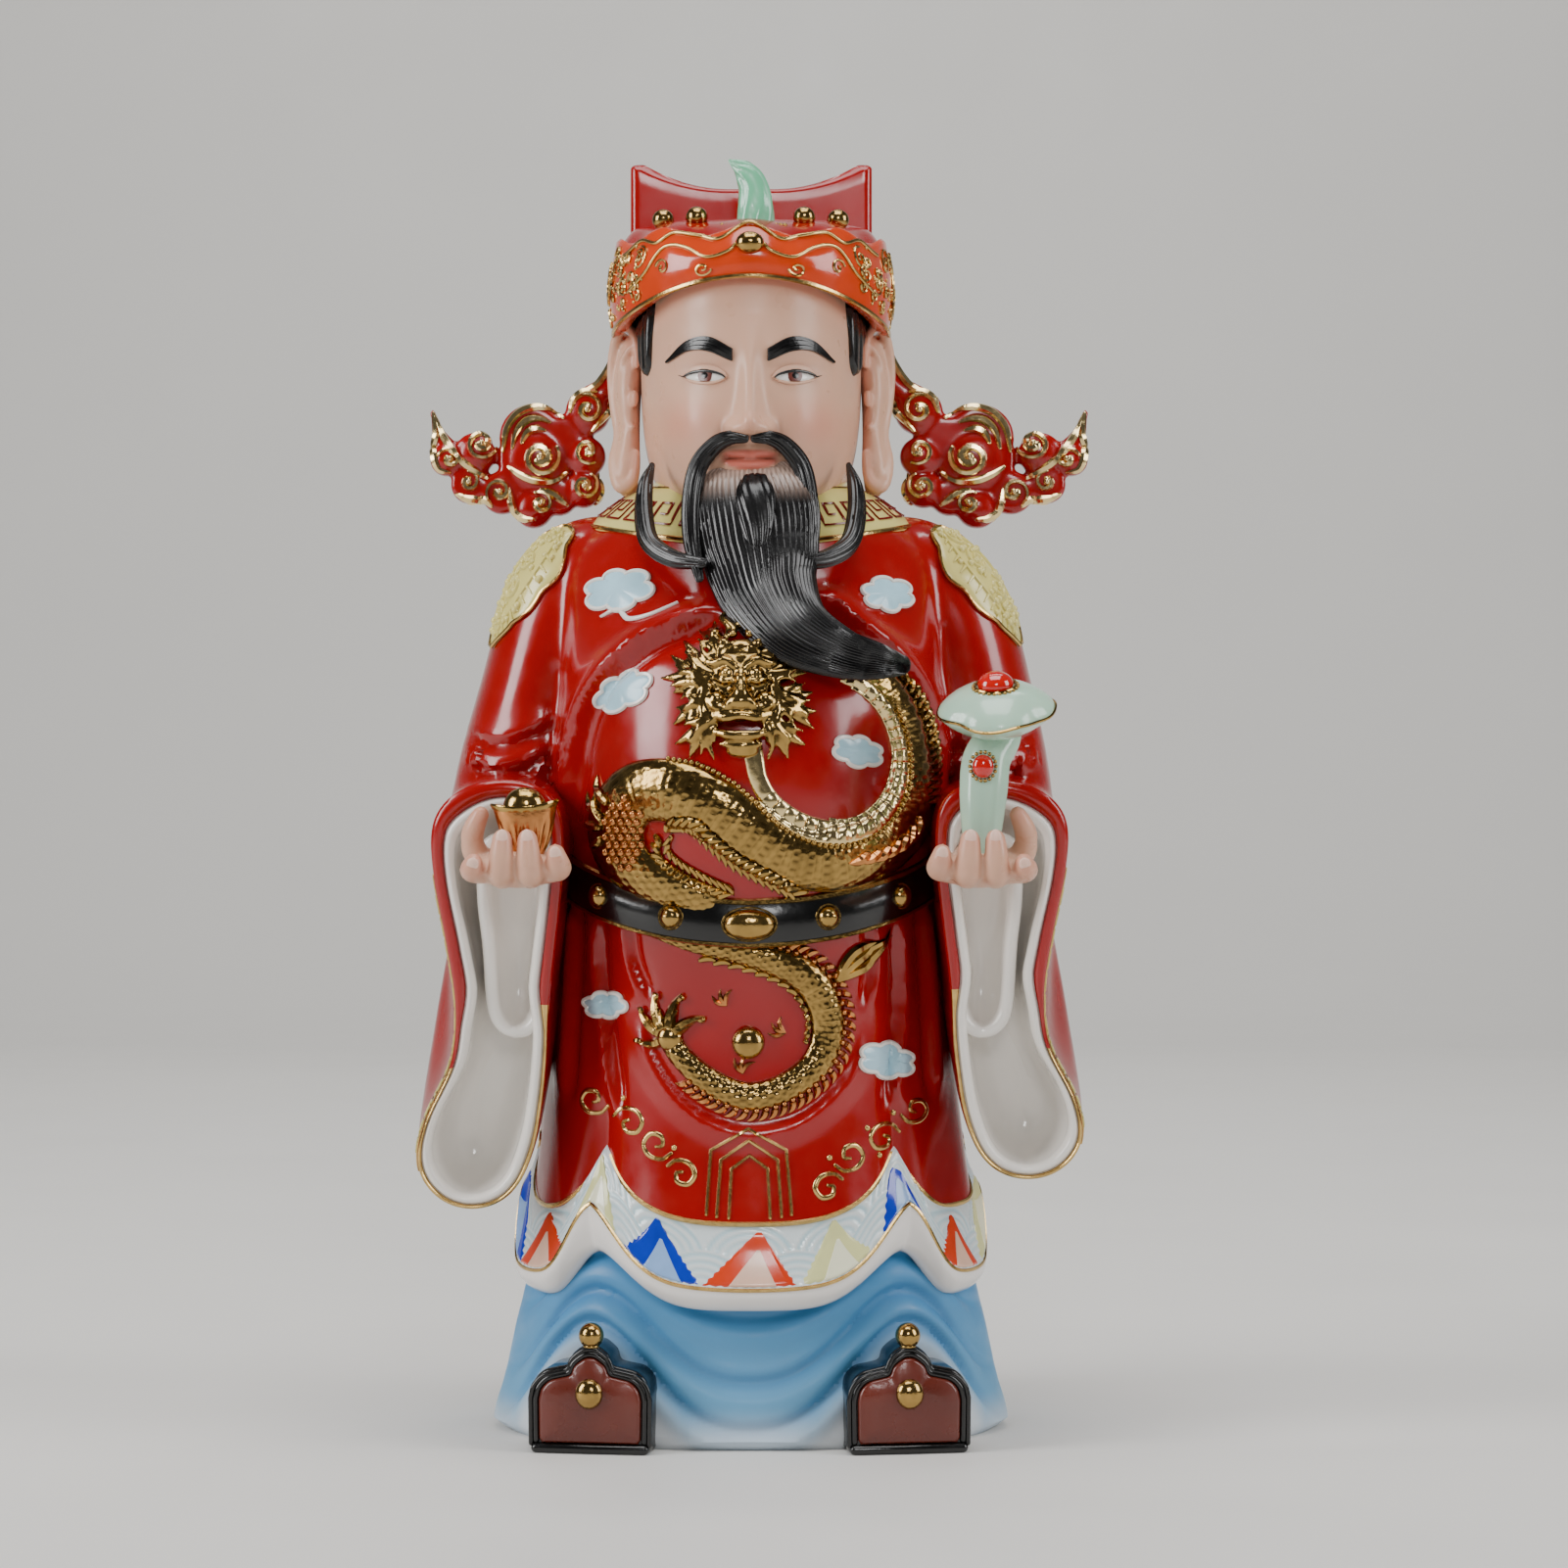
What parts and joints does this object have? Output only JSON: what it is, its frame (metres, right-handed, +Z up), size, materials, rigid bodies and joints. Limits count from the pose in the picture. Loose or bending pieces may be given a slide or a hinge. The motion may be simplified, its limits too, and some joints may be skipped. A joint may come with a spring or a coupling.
{
  "type": "caishen figure",
  "caption": "Standing glazed porcelain Caishen in a dragon robe and winged hat, holding a ruyi sceptre and a gold ingot.",
  "frame": {"origin": "middle of the flat underside, on the surface that the figure stands on", "axes": "+Z up, the figure faces -Y, +X is the viewer's right"},
  "size_m": [0.2139, 0.1545, 0.4],
  "materials": {
    "red_glaze": "glossy red overglaze on porcelain",
    "white_glaze": "glossy warm white glaze on porcelain",
    "blue_glaze": "satin sky-blue glaze, sprayed to fade",
    "pale_blue_glaze": "pale blue enamel on low relief",
    "royal_blue_glaze": "royal blue enamel on low relief",
    "orange_glaze": "orange enamel",
    "yellow_glaze": "pale yellow enamel",
    "flesh_glaze": "satin flesh-toned glaze with a sprayed blush",
    "black_glaze": "glossy black glaze",
    "brown_glaze": "glossy reddish-brown glaze",
    "jade_glaze": "glossy pale jade-green glaze",
    "gold_lustre": "bright fired gold lustre"
  },
  "bodies": {
    "root": {"figure": "red_glaze", "hat_wing_left": "red_glaze", "hat_wing_right": "red_glaze", "ruyi_sceptre": "jade_glaze", "gold_ingot": "gold_lustre"}
  },
  "joints": []
}
